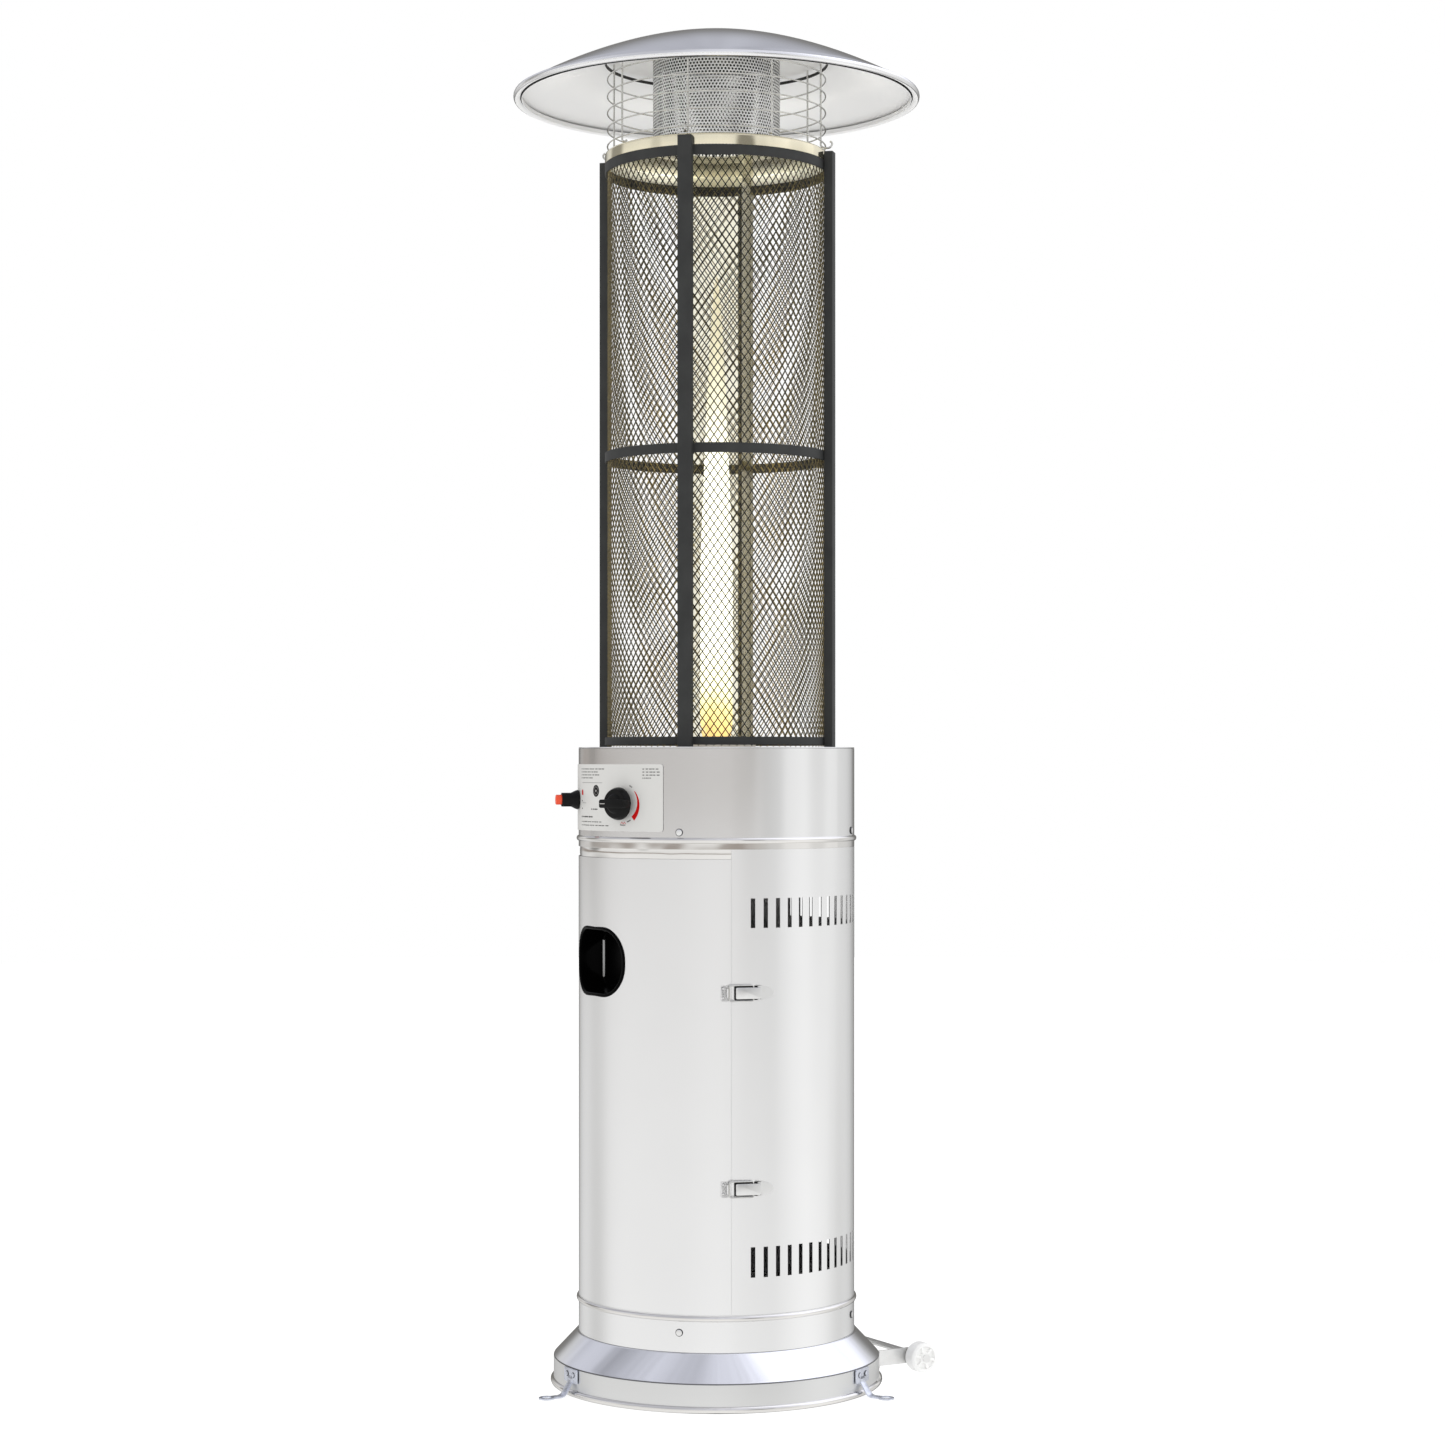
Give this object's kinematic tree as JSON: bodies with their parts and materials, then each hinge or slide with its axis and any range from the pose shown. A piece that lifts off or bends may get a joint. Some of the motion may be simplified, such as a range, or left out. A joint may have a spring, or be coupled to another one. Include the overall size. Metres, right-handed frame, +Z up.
{
  "type": "gas patio heater",
  "caption": "Round tower gas patio heater: steel body with a lift-off door, glass flame tube in a black guard, perforated emitter and dome reflector, on a base with rear wheels.",
  "frame": {"origin": "on the floor under the tower's axis, at the middle of the base plate's underside", "axes": "+Z up along the tower's axis; the front, with knob and door, faces -Y; the wheels are at +Y"},
  "size_m": [0.5432, 0.5536, 1.8],
  "materials": {
    "body_steel": "fine brushed stainless",
    "polished_steel": "polished stainless",
    "guard_black": "satin black powder coat",
    "zinc": "bright zinc plate",
    "bright_wire": "bright drawn wire",
    "perforated_steel": "perforated stainless sheet",
    "black_plastic": "moulded black plastic, satin",
    "orange_plastic": "moulded orange plastic",
    "white_plastic": "moulded white plastic",
    "label_film": "satin white film",
    "glass": "clear tube glass",
    "brass": "cast and turned brass",
    "aluminium": "bare aluminium tube",
    "ceramic": "white ceramic",
    "galvanised": "galvanised steel sheet"
  },
  "bodies": {
    "root": {"lower_ring": "body_steel", "rear_shell": "body_steel", "control_housing": "body_steel", "housing_deck": "body_steel", "base_skirt": "polished_steel", "top_collar": "polished_steel", "reflector": "polished_steel", "guard_post_1": "guard_black", "guard_post_2": "guard_black", "guard_post_3": "guard_black", "guard_post_4": "guard_black", "guard_net_1": "guard_black", "guard_net_2": "guard_black", "guard_net_3": "guard_black", "guard_net_4": "guard_black", "guard_hoop_bottom": "guard_black", "guard_hoop_middle": "guard_black", "guard_hoop_top": "guard_black", "cage_hoop": "guard_black", "anchor_foot_1": "zinc", "anchor_foot_2": "zinc", "anchor_foot_3": "zinc", "wheel_bracket": "zinc", "wheel_axle": "zinc", "latch_left_lower_base": "zinc", "latch_left_upper_base": "zinc", "latch_right_lower_base": "zinc", "latch_right_upper_base": "zinc", "emitter_cage": "bright_wire", "emitter": "perforated_steel", "igniter_body": "black_plastic", "tilt_switch": "black_plastic", "control_label": "label_film", "glass_tube": "glass", "gas_valve": "brass", "pilot_burner": "brass", "burner_pipe": "aluminium", "glass_seat": "ceramic", "flame_probe": "ceramic", "base_plate": "galvanised", "burner_cup": "galvanised"},
    "door": {"door_panel": "body_steel", "handle_cup": "black_plastic", "latch_left_lower_keeper": "zinc", "latch_left_upper_keeper": "zinc", "latch_right_lower_keeper": "zinc", "latch_right_upper_keeper": "zinc"},
    "spindle": {"valve_spindle": "brass"},
    "knob": {"control_knob": "black_plastic"},
    "button": {"igniter_button": "orange_plastic"},
    "left_wheel": {"wheel_left": "white_plastic"},
    "right_wheel": {"wheel_right": "white_plastic"},
    "latch_left_lower_lever_body": {"latch_left_lower_lever": "zinc"},
    "latch_left_lower_bail_body": {"latch_left_lower_bail": "bright_wire"},
    "latch_left_upper_lever_body": {"latch_left_upper_lever": "zinc"},
    "latch_left_upper_bail_body": {"latch_left_upper_bail": "bright_wire"},
    "latch_right_lower_lever_body": {"latch_right_lower_lever": "zinc"},
    "latch_right_lower_bail_body": {"latch_right_lower_bail": "bright_wire"},
    "latch_right_upper_lever_body": {"latch_right_upper_lever": "zinc"},
    "latch_right_upper_bail_body": {"latch_right_upper_bail": "bright_wire"}
  },
  "joints": [
    {"name": "door_off", "type": "slide", "parent": "root", "child": "door", "axis": [0, -1, 0], "range_m": [0, 0.45]},
    {"name": "knob_turn", "type": "hinge", "parent": "root", "child": "spindle", "pos_m": [0.06342, -0.1791, 0.773], "axis": [0.3338, -0.9426, 0], "range_deg": [0, 225]},
    {"name": "knob_push", "type": "slide", "parent": "spindle", "child": "knob", "axis": [-0.3338, 0.9426, 0], "range_m": [0, 0.003], "stiffness_N_per_m": 900},
    {"name": "igniter_push", "type": "slide", "parent": "root", "child": "button", "axis": [0.3338, 0.9426, 0], "range_m": [0, 0.005], "stiffness_N_per_m": 700},
    {"name": "left_wheel_spin", "type": "hinge", "parent": "root", "child": "left_wheel", "pos_m": [-0.1, 0.262, 0.0215], "axis": [1, 0, 0], "continuous": true},
    {"name": "right_wheel_spin", "type": "hinge", "parent": "root", "child": "right_wheel", "pos_m": [0.1, 0.262, 0.0215], "axis": [1, 0, 0], "continuous": true},
    {"name": "latch_left_lower_open", "type": "hinge", "parent": "root", "child": "latch_left_lower_lever_body", "pos_m": [-0.18478, -0.04342, 0.28], "axis": [0, 0, -1], "range_deg": [0, 120]},
    {"name": "latch_left_lower_bail_swing", "type": "hinge", "parent": "latch_left_lower_lever_body", "child": "latch_left_lower_bail_body", "pos_m": [-0.18259, -0.05059, 0.28], "axis": [0, 0, -1], "range_deg": [0, 80]},
    {"name": "latch_left_upper_open", "type": "hinge", "parent": "root", "child": "latch_left_upper_lever_body", "pos_m": [-0.18478, -0.04342, 0.531], "axis": [0, 0, -1], "range_deg": [0, 120]},
    {"name": "latch_left_upper_bail_swing", "type": "hinge", "parent": "latch_left_upper_lever_body", "child": "latch_left_upper_bail_body", "pos_m": [-0.18259, -0.05059, 0.531], "axis": [0, 0, -1], "range_deg": [0, 80]},
    {"name": "latch_right_lower_open", "type": "hinge", "parent": "root", "child": "latch_right_lower_lever_body", "pos_m": [0.18478, -0.04342, 0.28], "axis": [0, 0, 1], "range_deg": [0, 120]},
    {"name": "latch_right_lower_bail_swing", "type": "hinge", "parent": "latch_right_lower_lever_body", "child": "latch_right_lower_bail_body", "pos_m": [0.18259, -0.05059, 0.28], "axis": [0, 0, 1], "range_deg": [0, 80]},
    {"name": "latch_right_upper_open", "type": "hinge", "parent": "root", "child": "latch_right_upper_lever_body", "pos_m": [0.18478, -0.04342, 0.531], "axis": [0, 0, 1], "range_deg": [0, 120]},
    {"name": "latch_right_upper_bail_swing", "type": "hinge", "parent": "latch_right_upper_lever_body", "child": "latch_right_upper_bail_body", "pos_m": [0.18259, -0.05059, 0.531], "axis": [0, 0, 1], "range_deg": [0, 80]}
  ]
}
